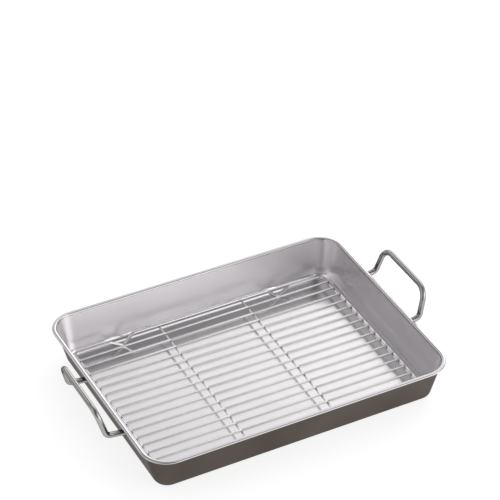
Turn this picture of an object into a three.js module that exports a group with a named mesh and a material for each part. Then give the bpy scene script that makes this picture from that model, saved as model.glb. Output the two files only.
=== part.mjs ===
// Roasting pan with rack.
// A deep-drawn steel pan with a rolled rim, two bent-rod handles welded to its end walls, and a loose wire
// rack that stands on four bent feet inside it and lifts straight out.
// Millimetres, +Z up, +X along the pan's long side. The origin is the middle of the pan's underside.

import * as THREE from 'three';

const degrees = THREE.MathUtils.degToRad;

// Driving dimensions: pan
const rimLength = 400; // over the rolled rim, along X
const rimWidth = 310; // over the rolled rim, along Y
const panHeight = 53; // underside to the top of the rim
const sheetThickness = 0.8;
const wallDraft = degrees(14.4); // lean of the walls from upright
const rimCornerRadius = 34; // outside of the rim, seen from above
const floorFillet = 9.2; // inside radius between floor and wall
const rollWidth = 5.2; // the rim's flattened roll
const rollHeight = 3.2;
const rollEnd = degrees(-115); // where the rolled edge stops, just short of the wall

// Driving dimensions: handles
const handleRod = 7; // rod diameter
const handleBelowRim = 7.5; // air between the rolled rim's underside and the rod at the wall
const handleFootRise = 3.5; // a foot's rise from the wall to its bend
const handleReach = 16.5; // the foot's bend, out from the rim
const handleSpan = 107; // between the middles of a handle's feet
const handleRise = 35.5; // the foot's bend up to the grip bar, middle to middle
const handleLean = 10; // grip bar out from the feet's bends
const handleTaper = 5.5; // each leg in towards the grip bar
const handleFootBend = 8; // bend radii at the rod's middle
const handleGripBend = 18;
const handleShift = 12.5; // each handle off the middle of its end, to the right when seen from outside

// Driving dimensions: rack
const frameWire = 4; // wire diameters
const gridWire = 2.5;
const rackHeight = 15; // pan floor up to the middle of the frame's raised sides
const rackEndClearance = 10; // frame to the end walls and to the side walls, when the rack lies in the middle
const rackSideClearance = 18;
const rackShiftX = -2; // where the loose rack lies in the pan
const rackShiftY = 2;
const frameCornerRadius = 6; // bend radii at the wire's middle
const footBend = 5;
const footInnerSlope = degrees(46); // slopes of a foot's legs, towards the middle and towards the end
const footOuterSlope = degrees(30);
const footFromEnd = 65; // where a foot's legs would meet, to the end of the frame
const gridWireCount = 15;
const gridSideGap = 17.4; // frame's side to the first grid wire, middle to middle
const crossWireCount = 2;
const wireOverhang = 1.5; // a straight wire's end past the middle of the frame wire that it crosses

// Welded pieces and the standing rack keep this much air between their surfaces
const seatGap = 0.3;

// Fineness of the faceting
const cornerSteps = 8;
const filletSteps = 5;
const rollSteps = 12;
const bendSteps = 6;
const handleSides = 12;
const frameSides = 12;
const gridSides = 10;

// Finishes
const satinSteel = new THREE.MeshStandardMaterial({ color: 0xb9b7b6, roughness: 0.38, metalness: 1 });
const polishedSteel = new THREE.MeshStandardMaterial({ color: 0xc9c8c6, roughness: 0.18, metalness: 1 });
const wireSteel = new THREE.MeshStandardMaterial({ color: 0xcfcecc, roughness: 0.22, metalness: 1 });

// Pan section: points are (inset from the rim's outline, height)
const rollMiddle = new THREE.Vector2(rollWidth / 2, panHeight - rollHeight / 2);

// A point of the rim's roll; the angle is 0 at its outer side and a half turn at the wall
function rollPoint(halfWidth, halfHeight, angle) {
  const inset = rollMiddle.x - halfWidth * Math.cos(angle);
  const height = rollMiddle.y + halfHeight * Math.sin(angle);
  return new THREE.Vector2(inset, height);
}

// The roll starts where it runs on smoothly from the leaning wall
function rollArc(halfWidth, halfHeight) {
  const start = Math.PI - Math.atan((Math.tan(wallDraft) * halfHeight) / halfWidth);
  const points = [];
  for (let step = 0; step <= rollSteps; step += 1) {
    const angle = THREE.MathUtils.lerp(start, rollEnd, step / rollSteps);
    points.push(rollPoint(halfWidth, halfHeight, angle));
  }
  return points;
}

const rollOutside = rollArc(rollWidth / 2, rollHeight / 2);
const rollInside = rollArc(rollWidth / 2 - sheetThickness, rollHeight / 2 - sheetThickness);
const wallTop = rollOutside[0];

function innerWallInset(height) {
  return wallTop.x + (wallTop.y - height) * Math.tan(wallDraft);
}

function outerWallInset(height) {
  return innerWallInset(height) - sheetThickness / Math.cos(wallDraft);
}

const filletHeight = sheetThickness + floorFillet;
const filletMiddle = new THREE.Vector2(
  innerWallInset(filletHeight) + floorFillet / Math.cos(wallDraft),
  filletHeight,
);

// The bend between wall and floor, from the floor up to the wall
function filletArc(radius) {
  const points = [];
  for (let step = 0; step <= filletSteps; step += 1) {
    const angle = THREE.MathUtils.lerp(Math.PI / 2, wallDraft, step / filletSteps);
    const reach = new THREE.Vector2(-Math.cos(angle), -Math.sin(angle)).multiplyScalar(radius);
    points.push(reach.add(filletMiddle));
  }
  return points;
}

// The sheet's section: up the inside, round the roll, back inside the roll and down the outside
function panSection() {
  const inside = filletArc(floorFillet);
  const outside = filletArc(floorFillet + sheetThickness).reverse();
  return [...inside, ...rollOutside, ...rollInside.slice().reverse(), ...outside];
}

// A level round-cornered outline, drawn in from the rim's outline
function outlineRing(inset, height) {
  const radius = rimCornerRadius - inset;
  const middleX = rimLength / 2 - rimCornerRadius;
  const middleY = rimWidth / 2 - rimCornerRadius;
  const quarters = [[1, 1], [-1, 1], [-1, -1], [1, -1]];
  const ring = [];
  quarters.forEach(([signX, signY], quarter) => {
    for (let step = 0; step <= cornerSteps; step += 1) {
      const angle = (quarter + step / cornerSteps) * (Math.PI / 2);
      const x = signX * middleX + radius * Math.cos(angle);
      const y = signY * middleY + radius * Math.sin(angle);
      ring.push(new THREE.Vector3(x, y, height));
    }
  });
  return ring;
}

// Closes a row of equal rings into a skin; end points close it, or it runs round to its first ring
function skin(rings, startPoint, endPoint) {
  const count = rings[0].length;
  const positions = rings.flat().flatMap((point) => point.toArray());
  const triangles = [];
  const corner = (ring, index) => (ring % rings.length) * count + (index % count);
  const spans = startPoint ? rings.length - 1 : rings.length;
  for (let ring = 0; ring < spans; ring += 1) {
    for (let index = 0; index < count; index += 1) {
      const here = corner(ring, index);
      const beside = corner(ring, index + 1);
      const ahead = corner(ring + 1, index);
      const across = corner(ring + 1, index + 1);
      triangles.push(here, ahead, across, here, across, beside);
    }
  }
  if (startPoint) {
    const start = positions.length / 3;
    const end = start + 1;
    positions.push(...startPoint.toArray(), ...endPoint.toArray());
    for (let index = 0; index < count; index += 1) {
      triangles.push(start, corner(0, index), corner(0, index + 1));
      triangles.push(end, corner(rings.length - 1, index + 1), corner(rings.length - 1, index));
    }
  }
  const geometry = new THREE.BufferGeometry();
  geometry.setAttribute('position', new THREE.Float32BufferAttribute(positions, 3));
  geometry.setIndex(triangles);
  geometry.computeVertexNormals();
  return geometry;
}

function panGeometry() {
  const rings = panSection().map((point) => outlineRing(point.x, point.y));
  return skin(rings, new THREE.Vector3(0, 0, sheetThickness), new THREE.Vector3(0, 0, 0));
}

// The path of a bent rod: straight runs between corners, each corner rounded to its own radius
function bentPath(corners, radii, closed) {
  const path = [];
  corners.forEach((corner, index) => {
    const isEnd = !closed && (index === 0 || index === corners.length - 1);
    if (isEnd) {
      path.push(corner.clone());
      return;
    }
    const before = corners[(index + corners.length - 1) % corners.length];
    const after = corners[(index + 1) % corners.length];
    const back = before.clone().sub(corner).normalize();
    const onward = after.clone().sub(corner).normalize();
    const half = back.angleTo(onward) / 2;
    const radius = radii[index];
    const middle = back.clone().add(onward).setLength(radius / Math.sin(half)).add(corner);
    const spoke = back.clone().multiplyScalar(radius / Math.tan(half)).add(corner).sub(middle);
    const axis = back.clone().cross(onward).negate().normalize();
    for (let step = 0; step <= bendSteps; step += 1) {
      const turn = (Math.PI - 2 * half) * (step / bendSteps);
      path.push(spoke.clone().applyAxisAngle(axis, turn).add(middle));
    }
  });
  return path;
}

function ringMiddle(ring) {
  const sum = ring.reduce((total, point) => total.add(point), new THREE.Vector3());
  return sum.divideScalar(ring.length);
}

// A round rod along a path; an open rod's ends can be trimmed to a plane
function rodGeometry(path, diameter, sides, closed, endPlane) {
  const last = path.length - 1;
  const runs = path.map((point, index) => path[(index + 1) % path.length].clone().sub(point).normalize());
  const tangents = path.map((point, index) => {
    if (!closed && index === 0) return runs[0].clone();
    if (!closed && index === last) return runs[last - 1].clone();
    return runs[(index + last) % path.length].clone().add(runs[index]).normalize();
  });
  const up = new THREE.Vector3(0, 0, 1);
  const side = tangents[0].clone().cross(up).normalize();
  const rings = path.map((point, index) => {
    if (index > 0) {
      const turn = new THREE.Quaternion().setFromUnitVectors(tangents[index - 1], tangents[index]);
      side.applyQuaternion(turn).normalize();
    }
    const ring = [];
    for (let step = 0; step < sides; step += 1) {
      const spoke = side.clone().multiplyScalar(diameter / 2);
      spoke.applyAxisAngle(tangents[index], (-2 * Math.PI * step) / sides);
      ring.push(spoke.add(point));
    }
    return ring;
  });
  if (closed) return skin(rings);
  if (endPlane) {
    for (const [ring, tangent] of [[rings[0], tangents[0]], [rings[last], tangents[last]]]) {
      const slope = endPlane.normal.dot(tangent);
      ring.forEach((point) => point.addScaledVector(tangent, -endPlane.distanceToPoint(point) / slope));
    }
  }
  return skin(rings, ringMiddle(rings[0]), ringMiddle(rings[last]));
}

// A handle's rod leaves the end wall's outer face at this height and distance from the middle
const handleRootHeight = panHeight - rollHeight - handleBelowRim - handleRod / 2;
const handleRootX = rimLength / 2 - outerWallInset(handleRootHeight);

// The outer face of the end wall at +X, with the weld's gap in front of it
function endWallPlane() {
  const normal = new THREE.Vector3(Math.cos(wallDraft), 0, -Math.sin(wallDraft));
  const point = new THREE.Vector3(handleRootX, 0, handleRootHeight);
  return new THREE.Plane().setFromNormalAndCoplanarPoint(normal, point.addScaledVector(normal, seatGap));
}

function handleGeometry() {
  const bendHeight = handleRootHeight + handleFootRise;
  const gripHeight = bendHeight + handleRise;
  const bendX = rimLength / 2 + handleReach;
  const gripX = bendX + handleLean;
  const footY = handleSpan / 2;
  const gripY = footY - handleTaper;
  const corners = [
    new THREE.Vector3(handleRootX, -footY, handleRootHeight),
    new THREE.Vector3(bendX, -footY, bendHeight),
    new THREE.Vector3(gripX, -gripY, gripHeight),
    new THREE.Vector3(gripX, gripY, gripHeight),
    new THREE.Vector3(bendX, footY, bendHeight),
    new THREE.Vector3(handleRootX, footY, handleRootHeight),
  ];
  const radii = [0, handleFootBend, handleGripBend, handleGripBend, handleFootBend, 0];
  return rodGeometry(bentPath(corners, radii, false), handleRod, handleSides, false, endWallPlane());
}

// Rack levels, at the wires' middles: the cross wires are welded under the frame's raised sides, and the grid
// wires lie on the cross wires and on the frame's lower ends
const crossing = (frameWire + gridWire) / 2 + seatGap;
const sideHeight = sheetThickness + rackHeight;
const crossHeight = sideHeight - crossing;
const gridHeight = crossHeight + gridWire + seatGap;
const endHeight = gridHeight - crossing;
const footHeight = sheetThickness + seatGap + frameWire / 2;

// The frame's half sizes are taken at the wire's middle
const frameHalfLength = rimLength / 2 - innerWallInset(endHeight) - frameWire / 2 - rackEndClearance;
const frameHalfWidth = rimWidth / 2 - innerWallInset(sideHeight) - frameWire / 2 - rackSideClearance;

// Height of the corner where a foot's legs would meet, under the bend that rounds it
function footCornerHeight() {
  const innerRise = Math.tan(footInnerSlope);
  const outerRise = Math.tan(footOuterSlope);
  const innerReach = footBend / Math.cos(footInnerSlope);
  const outerReach = footBend / Math.cos(footOuterSlope);
  const bendMiddleX = (outerReach - innerReach) / (innerRise + outerRise);
  const bendMiddleHeight = innerReach + innerRise * bendMiddleX;
  return footHeight + footBend - bendMiddleHeight;
}

// One loop of wire: each long side is raised between two pointed feet
function frameGeometry() {
  const footX = frameHalfLength - footFromEnd;
  const cornerHeight = footCornerHeight();
  const innerRun = (sideHeight - cornerHeight) / Math.tan(footInnerSlope);
  const outerRun = (endHeight - cornerHeight) / Math.tan(footOuterSlope);
  const halfSide = [
    { x: frameHalfLength, height: endHeight, radius: frameCornerRadius },
    { x: footX + outerRun, height: endHeight, radius: footBend },
    { x: footX, height: cornerHeight, radius: footBend },
    { x: footX - innerRun, height: sideHeight, radius: footBend },
  ];
  const otherHalf = halfSide.map((bend) => ({ ...bend, x: -bend.x })).reverse();
  const corners = [];
  const radii = [];
  for (const way of [1, -1]) {
    for (const bend of [...halfSide, ...otherHalf]) {
      corners.push(new THREE.Vector3(way * bend.x, way * frameHalfWidth, bend.height));
      radii.push(bend.radius);
    }
  }
  return rodGeometry(bentPath(corners, radii, true), frameWire, frameSides, true);
}

// Straight wires lie along Y as they are made
function straightWire(length) {
  return new THREE.CylinderGeometry(gridWire / 2, gridWire / 2, length, gridSides);
}

function named(name, geometry, material) {
  const mesh = new THREE.Mesh(geometry, material);
  mesh.name = name;
  return mesh;
}

function buildPan() {
  const pan = new THREE.Group();
  pan.add(named('pan_shell', panGeometry(), satinSteel));
  const right = named('handle_right', handleGeometry(), polishedSteel);
  right.position.y = handleShift;
  const left = named('handle_left', handleGeometry(), polishedSteel);
  left.rotation.z = Math.PI;
  left.position.y = -handleShift;
  pan.add(right, left);
  return pan;
}

function buildRack() {
  const rack = new THREE.Group();
  rack.position.set(rackShiftX, rackShiftY, 0);
  rack.add(named('rack_frame', frameGeometry(), wireSteel));

  // Cross wires run across the pan, under the frame's raised sides
  const crossLength = 2 * (frameHalfWidth + wireOverhang);
  for (let index = 1; index <= crossWireCount; index += 1) {
    const wire = named(`rack_cross_wire_${index}`, straightWire(crossLength), wireSteel);
    const share = (2 * index) / (crossWireCount + 1) - 1;
    wire.position.set(share * frameHalfLength, 0, crossHeight);
    rack.add(wire);
  }

  // Grid wires lie along the pan, on the frame's ends and on the cross wires
  const gridLength = 2 * (frameHalfLength + wireOverhang);
  const gridHalfWidth = frameHalfWidth - gridSideGap;
  for (let index = 0; index < gridWireCount; index += 1) {
    const label = String(index + 1).padStart(2, '0');
    const wire = named(`rack_wire_${label}`, straightWire(gridLength), wireSteel);
    const share = 1 - (2 * index) / (gridWireCount - 1);
    wire.rotation.z = Math.PI / 2;
    wire.position.set(0, share * gridHalfWidth, gridHeight);
    rack.add(wire);
  }
  return rack;
}

const roastingPan = new THREE.Group();
roastingPan.add(buildPan(), buildRack());

export default roastingPan;
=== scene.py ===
"""Roasting pan with rack: a drawn steel pan, two bent rod handles and a welded wire rack."""

import math

import bpy
from mathutils import Matrix, Vector


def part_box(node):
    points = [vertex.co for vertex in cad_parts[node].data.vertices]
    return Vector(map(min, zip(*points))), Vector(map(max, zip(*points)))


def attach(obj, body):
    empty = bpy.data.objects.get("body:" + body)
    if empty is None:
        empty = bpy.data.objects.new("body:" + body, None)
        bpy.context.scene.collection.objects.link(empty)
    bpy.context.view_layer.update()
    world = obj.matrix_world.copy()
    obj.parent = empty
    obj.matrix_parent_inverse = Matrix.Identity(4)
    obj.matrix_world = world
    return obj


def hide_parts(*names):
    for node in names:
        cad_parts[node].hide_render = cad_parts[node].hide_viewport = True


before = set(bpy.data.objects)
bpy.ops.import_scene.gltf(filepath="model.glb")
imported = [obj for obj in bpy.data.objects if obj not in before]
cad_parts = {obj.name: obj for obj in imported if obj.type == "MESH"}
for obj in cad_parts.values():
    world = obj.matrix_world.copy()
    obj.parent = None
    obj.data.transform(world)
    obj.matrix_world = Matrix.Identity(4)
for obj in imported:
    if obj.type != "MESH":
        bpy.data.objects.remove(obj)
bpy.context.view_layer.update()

MM = 0.001
UP = Vector((0, 0, 1))
QUARTER_TURN = math.pi / 2
LENGTHWISE = 0
CROSSWISE = 1
TOUCH = 0.01 * MM
SMOOTH_ANGLE = math.radians(35)

# Pan sheet
SHEET = 0.8 * MM
WALL_DRAFT = math.radians(14.4)
RIM_CORNER = 34 * MM
FLOOR_FILLET = 9.2 * MM
ROLL_WIDTH = 5.2 * MM
ROLL_HEIGHT = 3.2 * MM
ROLL_END = math.radians(-115)
WALL_SUPPORT = 1.5 * MM
CORNER_SUPPORT = 4 * MM
FLOOR_SUPPORT = 3 * MM
ROLL_STEPS = 24
FILLET_STEPS = 12
CORNER_STEPS = 28

# Handle rod
HANDLE_ROD = 7 * MM
HANDLE_BELOW_RIM = 7.5 * MM
HANDLE_FOOT_RISE = 3.5 * MM
HANDLE_REACH = 16.5 * MM
HANDLE_SPAN = 107 * MM
HANDLE_RISE = 35.5 * MM
HANDLE_LEAN = 10 * MM
HANDLE_TAPER = 5.5 * MM
HANDLE_FOOT_BEND = 8 * MM
HANDLE_GRIP_BEND = 18 * MM
HANDLE_SIDES = 32

# Weld collar of a handle: how much the rod swells at a distance from the wall
HANDLE_WELD = {0: 1.3, 0.3 * MM: 1.13, 0.7 * MM: 1.04, 1.2 * MM: 1}

# Rack wire
FRAME_WIRE = 4 * MM
GRID_WIRE = 2.5 * MM
FRAME_CORNER = 6 * MM
FOOT_BEND = 5 * MM
FOOT_INNER_SLOPE = math.radians(46)
FOOT_OUTER_SLOPE = math.radians(30)
FOOT_FROM_END = 65 * MM
SEAT_GAP = 0.3 * MM
FRAME_SIDES = 24
GRID_SIDES = 20
BEND_STEPS = 12
WIRE_END_ROUND = 0.35 * MM
WIRE_END_STEPS = 3

# Spot welds between the wires, and the dark mark at each, which paints contact shade as well as weld
# tint
WELD_REACH = 0.9 * MM
WELD_SWELL = 1.02
WELD_SINK = 0.3 * MM
WELD_STEPS = 4
# Reach of the dark mark along a wire: weld tint and painted contact shade
WELD_AND_SHADE_REACH = 0.75 * MM

# Finishes of the pan and of a welded wire, by their order on the piece
# The outside finish carries the painted dark reflection of the outer walls
OUTSIDE_FINISH = 1
# The rim finish is greyer to paint shade on the roll
RIM_FINISH = 2
# Index of the dark weld finish, which also paints contact shade
WELD_AND_SHADE_FINISH = 1

# Duller and brighter tone of each metal
INSIDE_TONES = [(0.84, 0.815, 0.835), (0.89, 0.87, 0.885)]
# Outside tones are darkened to paint the dark reflection that the outer walls show
OUTSIDE_TONES_PAINTED_DARK = [(0.055, 0.043, 0.037), (0.205, 0.171, 0.149)]
# Rim tones are greyer than the inside to paint shade on the roll
RIM_TONES_PAINTED_GREY = [(0.60, 0.585, 0.595), (0.68, 0.665, 0.675)]
# Handle tones are darkened to paint the dark reflections on the polished rods
HANDLE_TONES_PAINTED_DARK = [(0.39, 0.38, 0.375), (0.47, 0.46, 0.455)]
WIRE_TONES = [(0.76, 0.745, 0.755), (0.84, 0.825, 0.835)]
# Very dark weld tones, which paint the contact shade where wires touch as well as weld tint
WELD_AND_SHADE_TONES = [(0.035, 0.032, 0.030), (0.09, 0.082, 0.078)]

# Roughness of the pan's inside, before its marks
PAN_FLOOR_ROUGHNESS = 0.14
PAN_WALL_ROUGHNESS = 0.26

# Marks in the metals: shares of their scale along X, Y and Z, small where they are drawn out
EVEN = (1, 1, 1)
ROLLED_LENGTHWISE = (0.06, 1, 1)
DRAWN_UPWARDS = (1, 1, 0.12)
POLISHED_ALONG_GRIP = (1, 0.1, 0.6)
DRAWN_LENGTHWISE = (0.04, 1, 1)
DRAWN_CROSSWISE = (1, 0.04, 1)
MARK_ROUGHNESS = 0.55

# Colour sockets of a Mix node, which also has sockets for numbers and vectors
MIX_SHARE = 0
MIX_COLOURS = (6, 7)
MIX_RESULT = 2

# Studio floor
STUDIO_FLOOR_SIZE = 30
STUDIO_FLOOR_GAP = 0.2 * MM
STUDIO_FLOOR_GREY = (0.4, 0.4, 0.4, 1)
STUDIO_FLOOR_GLOW = 0.8
WHITE = (1, 1, 1, 1)

# Soft cards of light: elevation in degrees and narrowness of each row
LOW = (12, 8)
MIDDLE = (38, 16)
HIGH = (65, 20)
STRIP = (34, 60)

# Cards round the object: row, azimuth in degrees from +Y towards +X, strength
CARDS = {
    "low, back": (LOW, 0, 0.9),
    "low, back right": (LOW, 45, 2.7),
    "low, front right": (LOW, 135, 2.6),
    "low, front": (LOW, 180, 0.7),
    "low, left": (LOW, 270, 0.85),
    "middle, right": (MIDDLE, 75, 0.7),
    "middle, left": (MIDDLE, 250, 0.5),
    "middle, back left": (MIDDLE, 300, 0.4),
    "high, back right": (HIGH, 60, 1.15),
    "high, left": (HIGH, 240, 0.4),
    "high, back left": (HIGH, 330, 0.3),
    "strip, back left": (STRIP, 332, 1.5),
}

# Camera, as the photograph was taken: angles as for the cards, lens and sensor in millimetres
CAMERA_AZIMUTH = 207.4
CAMERA_ELEVATION = 36.39
CAMERA_DISTANCE = 2.9366
CAMERA_TARGET = Vector((0.09034, 0.16696, 0.0514))
CAMERA_LENS = 166.41
CAMERA_SENSOR = 36
CAMERA_NEAREST = 0.1
CAMERA_FARTHEST = 60


# Modelling by hand

def deselect_all():
    bpy.ops.object.select_all(action="DESELECT")


def apply_place():
    """Puts the selected object's place, turn and size into its mesh."""
    bpy.ops.object.transform_apply(location=True, rotation=True, scale=True)


def begin_edit(name, finishes):
    """Names a fresh primitive, gives it its finishes and opens it with everything selected."""
    piece = bpy.context.object
    piece.name = name
    for finish in finishes:
        piece.data.materials.append(finish)
    apply_place()
    bpy.ops.object.mode_set(mode="EDIT")
    bpy.ops.mesh.select_mode(type="VERT")
    bpy.ops.mesh.select_all(action="SELECT")
    return piece


def end_edit():
    bpy.ops.object.mode_set(mode="OBJECT")


def start_point(name, place, finishes):
    """A small plane merged into one point, from which an outline is drawn."""
    deselect_all()
    bpy.ops.mesh.primitive_plane_add(size=MM, location=place)
    piece = begin_edit(name, finishes)
    bpy.ops.mesh.merge(type="CENTER")
    return piece


def start_ring(name, place, facing, radius, sides, finishes):
    """A ring of points round a place, square to the way that a rod leaves it."""
    deselect_all()
    turn = facing.to_track_quat("Z", "Y").to_euler()
    bpy.ops.mesh.primitive_circle_add(vertices=sides, radius=radius, location=place, rotation=turn)
    return begin_edit(name, finishes)


def extrude(step):
    bpy.ops.mesh.extrude_region_move(TRANSFORM_OT_translate={"value": step})


def spin(centre, axis, angle, steps):
    """Turns the selection about an axis; the operator counts clockwise turns."""
    bpy.ops.mesh.spin(steps=steps, angle=-angle, center=centre, axis=axis)


def swell(factor, centre):
    bpy.ops.transform.resize(value=(factor, factor, factor), center_override=centre)


def select_points(piece, test):
    bpy.ops.mesh.select_all(action="DESELECT")
    bpy.ops.object.mode_set(mode="OBJECT")
    for point in piece.data.vertices:
        point.select = test(point.co)
    bpy.ops.object.mode_set(mode="EDIT")
    bpy.ops.mesh.select_mode(type="VERT")


def merge_and_face_out():
    bpy.ops.mesh.select_all(action="SELECT")
    bpy.ops.mesh.remove_doubles(threshold=TOUCH)
    bpy.ops.mesh.normals_make_consistent(inside=False)


def close_ring():
    """Closes the selected ring with a face and rounds its edge."""
    bpy.ops.mesh.edge_face_add()
    bpy.ops.mesh.bevel(offset=WIRE_END_ROUND, segments=WIRE_END_STEPS, affect="EDGES")


def apply_modifier(piece, kind, **settings):
    modifier = piece.modifiers.new(kind.lower(), kind)
    for key, value in settings.items():
        setattr(modifier, key, value)
    bpy.ops.object.modifier_apply(modifier=modifier.name)


def smooth():
    bpy.ops.object.shade_smooth_by_angle(angle=SMOOTH_ANGLE)


def copy_of(piece, name, place):
    """A copy with a mesh of its own, moved by a 4x4 matrix."""
    deselect_all()
    piece.select_set(True)
    bpy.context.view_layer.objects.active = piece
    bpy.ops.object.duplicate(linked=False)
    copy = bpy.context.object
    copy.name = name
    copy.matrix_world = place
    apply_place()
    return copy


def settle(piece, body, node):
    """Hands a finished piece to the CAD body and node that it belongs to."""
    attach(piece, body)
    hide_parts(node)


def node_middle(node):
    low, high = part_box(node)
    return (low + high) / 2


class Bend:
    """A rounded corner of a rod: where it starts and ends, and the turn between."""

    def __init__(self, before, corner, after, radius):
        back = (before - corner).normalized()
        onward = (after - corner).normalized()
        half = back.angle(onward) / 2
        self.start = corner + back * (radius / math.tan(half))
        self.end = corner + onward * (radius / math.tan(half))
        self.centre = corner + (back + onward).normalized() * (radius / math.sin(half))
        self.axis = onward.cross(back).normalized()
        self.angle = math.pi - 2 * half


def bends_along(route, radii):
    """The bends at the corners between a route's first and last point."""
    return [Bend(*route[index:index + 3], radius) for index, radius in enumerate(radii)]


def follow_bends(here, bends, end):
    """Extrudes the selected ring along straight runs and spins it round the bends."""
    for bend in bends:
        extrude(bend.start - here)
        spin(bend.centre, bend.axis, bend.angle, BEND_STEPS)
        here = bend.end
    extrude(end - here)


# Shader expressions

class Value:
    """What a socket of a node tree gives; arithmetic on a number adds Math nodes."""

    def __init__(self, tree, socket):
        self.tree = tree
        self.socket = socket

    def maths(self, operation, *terms):
        sockets = dict(enumerate(terms))
        return self.tree.node("ShaderNodeMath", {"operation": operation}, sockets)["Value"]

    def __add__(self, other):
        return self.maths("ADD", self, other)

    def __radd__(self, other):
        return self.maths("ADD", other, self)

    def __mul__(self, other):
        return self.maths("MULTIPLY", self, other)

    def __rmul__(self, other):
        return self.maths("MULTIPLY", other, self)

    def __pow__(self, other):
        return self.maths("POWER", self, other)

    def at_least(self, least):
        return self.maths("MAXIMUM", self, least)


class Made:
    """A node that has been added; its outputs are read by name or number."""

    def __init__(self, tree, node):
        self.tree = tree
        self.node = node

    def __getitem__(self, output):
        return Value(self.tree, self.node.outputs[output])


class Tree:
    """The node tree of a material or world, emptied and written down as expressions."""

    def __init__(self, owner):
        owner.use_nodes = True
        self.nodes = owner.node_tree.nodes
        self.links = owner.node_tree.links
        self.nodes.clear()

    def node(self, kind, settings=None, sockets=None):
        node = self.nodes.new(kind)
        for key, value in (settings or {}).items():
            setattr(node, key, value)
        for key, value in (sockets or {}).items():
            if isinstance(value, Value):
                self.links.new(value.socket, node.inputs[key])
            else:
                node.inputs[key].default_value = value
        return Made(self, node)


def new_finish(name):
    finish = bpy.data.materials.new(name)
    return finish, Tree(finish)


def marks(tree, scale, detail, stretch):
    """Noise on the object's own coordinates, drawn out along its axes."""
    place = tree.node("ShaderNodeTexCoord")["Object"]
    drawn = tree.node("ShaderNodeMapping", sockets={"Vector": place, "Scale": stretch})["Vector"]
    sockets = {"Vector": drawn, "Scale": scale, "Detail": detail, "Roughness": MARK_ROUGHNESS}
    return tree.node("ShaderNodeTexNoise", {"noise_dimensions": "3D"}, sockets)["Fac"]


def mixed(tree, share, tones):
    """A colour between two tones."""
    sockets = {MIX_SHARE: share}
    for socket, tone in zip(MIX_COLOURS, tones):
        sockets[socket] = (*tone, 1)
    return tree.node("ShaderNodeMix", {"data_type": "RGBA"}, sockets)[MIX_RESULT]


def metal(tree, colour, roughness, relief, depth, edge=1):
    """Bare metal with a relief; an edge under 1 darkens it where it is seen at a glancing angle, a
    painted dark reflection.
    """
    bump = {"Strength": 1, "Distance": depth, "Height": relief}
    sockets = {
        "Base Color": colour,
        "Metallic": 1,
        "Roughness": roughness,
        "Normal": tree.node("ShaderNodeBump", sockets=bump)["Normal"],
        # Specular Tint under white paints dark reflections at glancing angles
        "Specular Tint": (edge, edge, edge, 1),
    }
    shader = tree.node("ShaderNodeBsdfPrincipled", sockets=sockets)["BSDF"]
    tree.node("ShaderNodeOutputMaterial", sockets={"Surface": shader})


def drawn_share(tree):
    """0 on the pan's floor and 1 on its drawn walls, rising through the bend between."""
    place = tree.node("ShaderNodeTexCoord")["Object"]
    height = tree.node("ShaderNodeSeparateXYZ", sockets={"Vector": place})["Z"]
    bend = {"Value": height, "From Min": SHEET, "From Max": SHEET + FLOOR_FILLET}
    return tree.node("ShaderNodeMapRange", {"interpolation_type": "SMOOTHSTEP"}, bend)["Result"]


def satin_sheet():
    """The pan's inside: bright sheet with faint marks, smooth on the floor and rougher on the walls."""
    finish, tree = new_finish("satin_sheet")
    cloud = marks(tree, scale=9, detail=3, stretch=EVEN)
    grain = marks(tree, scale=300, detail=2, stretch=ROLLED_LENGTHWISE)
    roughening = drawn_share(tree) * (PAN_WALL_ROUGHNESS - PAN_FLOOR_ROUGHNESS)
    roughness = PAN_FLOOR_ROUGHNESS + roughening + cloud * 0.03 + grain * 0.03
    metal(tree, mixed(tree, cloud, INSIDE_TONES), roughness, relief=cloud, depth=0.4 * MM)
    return finish


def dark_sheet():
    """The pan's outside: brown-grey satin with soft clouds of tone, darkened to paint the dark
    reflection of its surroundings.
    """
    finish, tree = new_finish("dark_sheet")
    cloud = marks(tree, scale=7, detail=3, stretch=EVEN)
    grain = marks(tree, scale=800, detail=2, stretch=DRAWN_UPWARDS)
    roughness = 0.30 + cloud * 0.10 + grain * 0.08
    relief = grain + cloud * 4
    metal(tree, mixed(tree, cloud, OUTSIDE_TONES_PAINTED_DARK), roughness, relief, depth=0.02 * MM, edge=0.55)
    return finish


def rolled_rim():
    """The rolled rim: the same sheet, burnished, with greyer tones that paint shade on it."""
    finish, tree = new_finish("rolled_rim")
    cloud = marks(tree, scale=14, detail=3, stretch=EVEN)
    grain = marks(tree, scale=400, detail=2, stretch=EVEN)
    roughness = 0.13 + cloud * 0.05 + grain * 0.04
    metal(tree, mixed(tree, cloud, RIM_TONES_PAINTED_GREY), roughness, relief=grain, depth=0.001 * MM, edge=0.2)
    return finish


def polished_rod():
    """The handles: polished rod with a little handling wear, its dark tones painting the dark
    reflections on the rod.
    """
    finish, tree = new_finish("polished_rod")
    cloud = marks(tree, scale=40, detail=4, stretch=EVEN)
    grain = marks(tree, scale=1500, detail=2, stretch=POLISHED_ALONG_GRIP)
    roughness = 0.14 + cloud * 0.08 + grain * 0.05
    relief = grain + cloud * 3
    metal(tree, mixed(tree, cloud, HANDLE_TONES_PAINTED_DARK), roughness, relief, depth=0.01 * MM, edge=0.1)
    return finish


def bright_wire(name, stretch, edge):
    """The rack: drawn wire with fine marks."""
    finish, tree = new_finish(name)
    cloud = marks(tree, scale=60, detail=3, stretch=EVEN)
    grain = marks(tree, scale=2500, detail=2, stretch=stretch)
    roughness = 0.12 + cloud * 0.06 + grain * 0.05
    relief = grain + cloud
    metal(tree, mixed(tree, cloud, WIRE_TONES), roughness, relief, depth=0.01 * MM, edge=edge)
    return finish


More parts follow.
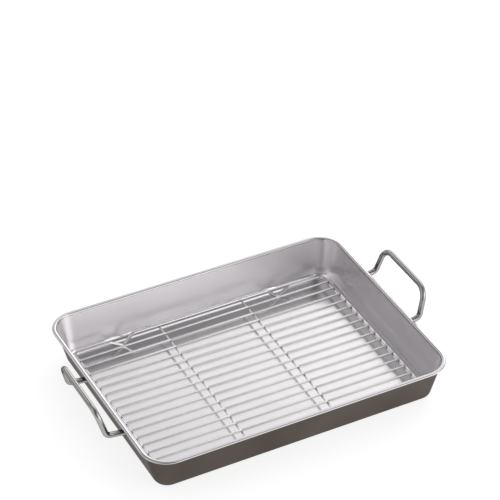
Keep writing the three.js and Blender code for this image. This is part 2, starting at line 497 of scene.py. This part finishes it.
def weld_mark():
    """Spot welds: a dark weld tint that also paints the contact shade where wires touch."""
    finish, tree = new_finish("weld_mark")
    crust = marks(tree, scale=900, detail=3, stretch=EVEN)
    roughness = 0.42 + crust * 0.2
    metal(tree, mixed(tree, crust, WELD_AND_SHADE_TONES), roughness, relief=crust, depth=0.04 * MM)
    return finish


# The drawn pan

rim_half_length, rim_half_width, pan_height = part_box("pan_shell")[1]
roll_middle = pan_height - ROLL_HEIGHT / 2
roll_start = math.pi - math.atan(math.tan(WALL_DRAFT) * ROLL_HEIGHT / ROLL_WIDTH)


def roll_point(angle):
    """A point of the rolled rim: its inset from the rim's outline and its height."""
    inset = ROLL_WIDTH / 2 * (1 - math.cos(angle))
    return inset, roll_middle + ROLL_HEIGHT / 2 * math.sin(angle)


def inner_wall_inset(height):
    top_inset, top_height = roll_point(roll_start)
    return top_inset + (top_height - height) * math.tan(WALL_DRAFT)


def outer_wall_inset(height):
    return inner_wall_inset(height) - SHEET / math.cos(WALL_DRAFT)


def pan_section():
    """The sheet's show face from the roll's edge to the floor, as insets and heights."""
    section = []
    for step in range(ROLL_STEPS + 1):
        section.append(roll_point(ROLL_END + (roll_start - ROLL_END) * step / ROLL_STEPS))
    wall_top = section[-1][1]
    fillet_height = SHEET + FLOOR_FILLET
    fillet_inset = inner_wall_inset(fillet_height) + FLOOR_FILLET / math.cos(WALL_DRAFT)
    fillet_top = fillet_height - FLOOR_FILLET * math.sin(WALL_DRAFT)
    for height in (wall_top - WALL_SUPPORT, fillet_top + WALL_SUPPORT):
        section.append((inner_wall_inset(height), height))
    for step in range(FILLET_STEPS + 1):
        angle = WALL_DRAFT + (QUARTER_TURN - WALL_DRAFT) * step / FILLET_STEPS
        inset = fillet_inset - FLOOR_FILLET * math.cos(angle)
        section.append((inset, fillet_height - FLOOR_FILLET * math.sin(angle)))
    return section


def extrude_wall(way, length):
    """A straight wall, with an edge near each end to keep it flat there."""
    for run in (CORNER_SUPPORT, length - 2 * CORNER_SUPPORT, CORNER_SUPPORT):
        extrude(way * run)


def make_pan(finishes):
    """The section is swept round four walls and corners, closed by the floor and thickened outwards."""
    middle_x = rim_half_length - RIM_CORNER
    middle_y = rim_half_width - RIM_CORNER
    points = [Vector((rim_half_length - inset, -middle_y, height)) for inset, height in pan_section()]
    pan = start_point("drawn_pan", points[0], finishes)
    for before, point in zip(points, points[1:]):
        extrude(point - before)
    bpy.ops.mesh.select_all(action="SELECT")
    ways = [Vector((0, 1, 0)), Vector((-1, 0, 0)), Vector((0, -1, 0)), Vector((1, 0, 0))]
    corners = [(1, 1), (-1, 1), (-1, -1), (1, -1)]
    for way, (side_x, side_y) in zip(ways, corners):
        extrude_wall(way, 2 * (middle_x if way.x else middle_y))
        spin((side_x * middle_x, side_y * middle_y, 0), UP, QUARTER_TURN, CORNER_STEPS)
    merge_and_face_out()
    select_points(pan, lambda place: place.z < SHEET + TOUCH)
    bpy.ops.mesh.edge_face_add()
    bpy.ops.mesh.inset(thickness=FLOOR_SUPPORT)
    merge_and_face_out()
    end_edit()
    floor = max(pan.data.polygons, key=lambda face: face.area)
    if floor.normal.z < 0:
        pan.data.flip_normals()
    # The solidified outer faces take the outside finish, with its painted dark reflection
    apply_modifier(
        pan,
        "SOLIDIFY",
        thickness=SHEET,
        offset=-1,
        use_even_offset=True,
        material_offset=OUTSIDE_FINISH,
    )
    # The roll takes the rim finish, with its painted shade
    for face in pan.data.polygons:
        if face.center.z > pan_height - ROLL_HEIGHT:
            face.material_index = RIM_FINISH
    smooth()
    return pan


# Handles

def swell_root(handle, root, wall_facing, reach, factor):
    """Swells the rod's ring at a distance from the wall, about the rod's middle there."""
    def on_ring(place):
        beside = abs(place.y - root.y) < HANDLE_ROD
        return beside and abs((place - root).dot(wall_facing) - reach) < TOUCH

    select_points(handle, on_ring)
    swell(factor, root + wall_facing * reach)


def make_handle(finish):
    """A rod bent up from the end wall; its roots are cut along the wall and swell into their welds."""
    root_height = pan_height - ROLL_HEIGHT - HANDLE_BELOW_RIM - HANDLE_ROD / 2
    root_x = rim_half_length - outer_wall_inset(root_height)
    bend_x = rim_half_length + HANDLE_REACH
    foot_slope = HANDLE_FOOT_RISE / (bend_x - root_x)
    bend_height = root_height + HANDLE_FOOT_RISE
    middle_y = node_middle("handle_right").y
    half_span = HANDLE_SPAN / 2
    half_route = [
        (root_x - HANDLE_ROD, half_span, root_height - HANDLE_ROD * foot_slope),
        (bend_x, half_span, bend_height),
        (bend_x + HANDLE_LEAN, half_span - HANDLE_TAPER, bend_height + HANDLE_RISE),
    ]
    route = [Vector((x, middle_y - aside, height)) for x, aside, height in half_route]
    route += [Vector((x, middle_y + aside, height)) for x, aside, height in reversed(half_route)]
    radii = [HANDLE_FOOT_BEND, HANDLE_GRIP_BEND, HANDLE_GRIP_BEND, HANDLE_FOOT_BEND]
    way = (route[1] - route[0]).normalized()
    handle = start_ring("bent_handle_right", route[0], way, HANDLE_ROD / 2, HANDLE_SIDES, [finish])
    follow_bends(route[0], bends_along(route, radii), route[-1])
    wall_facing = Vector((math.cos(WALL_DRAFT), 0, -math.sin(WALL_DRAFT)))
    roots = [Vector((root_x, middle_y + side * half_span, root_height)) for side in (-1, 1)]
    for reach in HANDLE_WELD:
        at_wall = reach == 0
        bpy.ops.mesh.select_all(action="SELECT")
        bpy.ops.mesh.bisect(
            plane_co=roots[0] + wall_facing * reach,
            plane_no=wall_facing,
            use_fill=at_wall,
            clear_inner=at_wall,
        )
    for reach, factor in HANDLE_WELD.items():
        for root in roots:
            swell_root(handle, root, wall_facing, reach, factor)
    merge_and_face_out()
    end_edit()
    smooth()
    return handle


# Rack

frame_low, frame_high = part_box("rack_frame")
frame_middle = (frame_low + frame_high) / 2
frame_half_length = (frame_high.x - frame_low.x) / 2 - FRAME_WIRE / 2
frame_half_width = (frame_high.y - frame_low.y) / 2 - FRAME_WIRE / 2
grid_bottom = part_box("rack_wire_01")[0].z
side_height = frame_high.z - FRAME_WIRE / 2
end_height = grid_bottom - SEAT_GAP - FRAME_WIRE / 2
foot_height = frame_low.z + FRAME_WIRE / 2


def foot_corner_height():
    """Where a foot's legs would meet, under the bend that rounds its tip."""
    inner_rise = math.tan(FOOT_INNER_SLOPE)
    outer_rise = math.tan(FOOT_OUTER_SLOPE)
    inner_reach = FOOT_BEND / math.cos(FOOT_INNER_SLOPE)
    outer_reach = FOOT_BEND / math.cos(FOOT_OUTER_SLOPE)
    bend_middle = (outer_reach - inner_reach) / (inner_rise + outer_rise)
    return foot_height + FOOT_BEND - inner_reach - inner_rise * bend_middle


def make_frame(finish):
    """One loop of wire, whose long sides are raised between two feet each."""
    corner_height = foot_corner_height()
    foot_x = frame_half_length - FOOT_FROM_END
    inner_run = (side_height - corner_height) / math.tan(FOOT_INNER_SLOPE)
    outer_run = (end_height - corner_height) / math.tan(FOOT_OUTER_SLOPE)
    half_side = [
        (frame_half_length, end_height, FRAME_CORNER),
        (foot_x + outer_run, end_height, FOOT_BEND),
        (foot_x, corner_height, FOOT_BEND),
        (foot_x - inner_run, side_height, FOOT_BEND),
    ]
    other_half = [(-x, height, radius) for x, height, radius in reversed(half_side)]
    corners = []
    radii = []
    for side in (1, -1):
        y = frame_middle.y + side * frame_half_width
        for x, height, radius in half_side + other_half:
            corners.append(Vector((frame_middle.x + side * x, y, height)))
            radii.append(radius)
    bends = bends_along([corners[-1], *corners, corners[0]], radii)
    start = (corners[-1] + corners[0]) / 2
    way = (corners[0] - start).normalized()
    wire = start_ring("bent_frame", start, way, FRAME_WIRE / 2, FRAME_SIDES, [finish])
    follow_bends(start, bends, start)
    merge_and_face_out()
    end_edit()
    smooth()
    return wire


def extrude_weld(here, crossing, way, sink):
    """Runs the selected ring past a crossing, where it swells and sinks onto the other wire."""
    size = 1
    for step in range(-WELD_STEPS, WELD_STEPS + 1):
        share = math.cos(QUARTER_TURN * step / WELD_STEPS) ** 2
        place = crossing + way * (WELD_REACH * step / WELD_STEPS) + sink * share
        extrude(place - here)
        new_size = 1 + (WELD_SWELL - 1) * share
        swell(new_size / size, place)
        here = place
        size = new_size
    return here


def make_welded_wire(name, node, axis, crossings, sink, finishes):
    """A straight wire between the ends of its CAD node, welded at the crossings along its axis."""
    low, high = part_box(node)
    start = (low + high) / 2
    end = start.copy()
    start[axis] = low[axis]
    end[axis] = high[axis]
    way = (end - start).normalized()
    wire = start_ring(name, start, way, GRID_WIRE / 2, GRID_SIDES, finishes)
    here = start
    for place in crossings:
        crossing = start.copy()
        crossing[axis] = place
        here = extrude_weld(here, crossing, way, sink)
    extrude(end - here)
    close_ring()
    select_points(wire, lambda place: place[axis] < start[axis] + TOUCH)
    close_ring()
    merge_and_face_out()
    end_edit()
    # Faces at a crossing, on the side towards the other wire, take the dark finish: weld tint and
    # painted contact shade
    for face in wire.data.polygons:
        at_crossing = any(abs(face.center[axis] - place) < WELD_AND_SHADE_REACH for place in crossings)
        if at_crossing and (face.center - start).dot(sink) > 0:
            face.material_index = WELD_AND_SHADE_FINISH
    smooth()
    return wire


def make_alike_wires(prefix, name, axis, crossings, sink, finishes):
    """All wires of one kind: the first is modelled and the others are copied from it."""
    nodes = sorted(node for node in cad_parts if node.startswith(prefix))
    names = [name + node.removeprefix(prefix) for node in nodes]
    first = make_welded_wire(names[0], nodes[0], axis, crossings, sink, finishes)
    wires = [first]
    for copy_name, node in zip(names[1:], nodes[1:]):
        away = node_middle(node) - node_middle(nodes[0])
        wires.append(copy_of(first, copy_name, Matrix.Translation(away)))
    for wire, node in zip(wires, nodes):
        settle(wire, "rack", node)


# Build

pan = make_pan([satin_sheet(), dark_sheet(), rolled_rim()])
settle(pan, "pan", "pan_shell")

handle = make_handle(polished_rod())
left_handle = copy_of(handle, "bent_handle_left", Matrix.Rotation(math.pi, 4, "Z"))
settle(handle, "pan", "handle_right")
settle(left_handle, "pan", "handle_left")

rack_frame = make_frame(bright_wire("frame_wire", EVEN, edge=0.1))
settle(rack_frame, "rack", "rack_frame")

frame_ends = [frame_middle.x - frame_half_length, frame_middle.x + frame_half_length]
frame_sides = [frame_middle.y - frame_half_width, frame_middle.y + frame_half_width]
cross_places = [node_middle(node).x for node in ("rack_cross_wire_1", "rack_cross_wire_2")]
grid_crossings = [frame_ends[0], *cross_places, frame_ends[1]]
# The dark weld finish also paints the contact shade at the crossings
weld_and_shade = weld_mark()
grid_finishes = [bright_wire("grid_wire", DRAWN_LENGTHWISE, edge=0.6), weld_and_shade]
cross_finishes = [bright_wire("cross_wire", DRAWN_CROSSWISE, edge=0.6), weld_and_shade]
down = -WELD_SINK * UP
make_alike_wires("rack_wire_", "grid_wire_", LENGTHWISE, grid_crossings, down, grid_finishes)
make_alike_wires("rack_cross_wire_", "cross_wire_", CROSSWISE, frame_sides, -down, cross_finishes)


# Studio

def way_towards(azimuth, elevation):
    """The direction at an azimuth from +Y towards +X and an elevation, both in degrees."""
    turn = math.radians(azimuth)
    rise = math.radians(elevation)
    return Vector((math.sin(turn) * math.cos(rise), math.cos(turn) * math.cos(rise), math.sin(rise)))


def make_studio_floor():
    """A pale floor that keeps the shadow; its glow is for the camera and for reflections only."""
    deselect_all()
    bpy.ops.mesh.primitive_plane_add(size=STUDIO_FLOOR_SIZE, location=-STUDIO_FLOOR_GAP * UP)
    floor = bpy.context.object
    floor.name = "studio_floor"
    finish, tree = new_finish("pale_floor")
    seen = tree.node("ShaderNodeLightPath")
    lift = seen["Is Camera Ray"] + seen["Is Glossy Ray"] + seen["Is Transmission Ray"]
    pale = tree.node("ShaderNodeBsdfDiffuse", sockets={"Color": STUDIO_FLOOR_GREY})["BSDF"]
    light = {"Color": WHITE, "Strength": lift * STUDIO_FLOOR_GLOW}
    glow = tree.node("ShaderNodeEmission", sockets=light)["Emission"]
    both = tree.node("ShaderNodeAddShader", sockets={0: pale, 1: glow})["Shader"]
    tree.node("ShaderNodeOutputMaterial", sockets={"Surface": both})
    floor.data.materials.append(finish)


def card_light(tree, way, row, azimuth, strength):
    """The light that one card sends from a way; it fades out from the card's middle."""
    elevation, narrowness = row
    sockets = {0: way, 1: way_towards(azimuth, elevation)}
    facing = tree.node("ShaderNodeVectorMath", {"operation": "DOT_PRODUCT"}, sockets)["Value"]
    return strength * facing.at_least(0) ** narrowness


def make_world():
    """A dark room with soft cards of light."""
    world = bpy.data.worlds.new("studio")
    bpy.context.scene.world = world
    tree = Tree(world)
    way = tree.node("ShaderNodeTexCoord")["Generated"]
    light = sum(card_light(tree, way, *card) for card in CARDS.values())
    sky = tree.node("ShaderNodeBackground", sockets={"Color": WHITE, "Strength": light})["Background"]
    tree.node("ShaderNodeOutputWorld", sockets={"Surface": sky})


def make_camera():
    camera = bpy.data.cameras.new("camera")
    camera.lens = CAMERA_LENS
    camera.sensor_width = CAMERA_SENSOR
    camera.clip_start = CAMERA_NEAREST
    camera.clip_end = CAMERA_FARTHEST
    back = way_towards(CAMERA_AZIMUTH, CAMERA_ELEVATION)
    holder = bpy.data.objects.new("camera", camera)
    bpy.context.scene.collection.objects.link(holder)
    holder.location = CAMERA_TARGET + back * CAMERA_DISTANCE
    holder.rotation_mode = "QUATERNION"
    holder.rotation_quaternion = (-back).to_track_quat("-Z", "Y")
    bpy.context.scene.camera = holder


make_studio_floor()
make_world()
make_camera()
bpy.context.scene.view_settings.view_transform = "Standard"
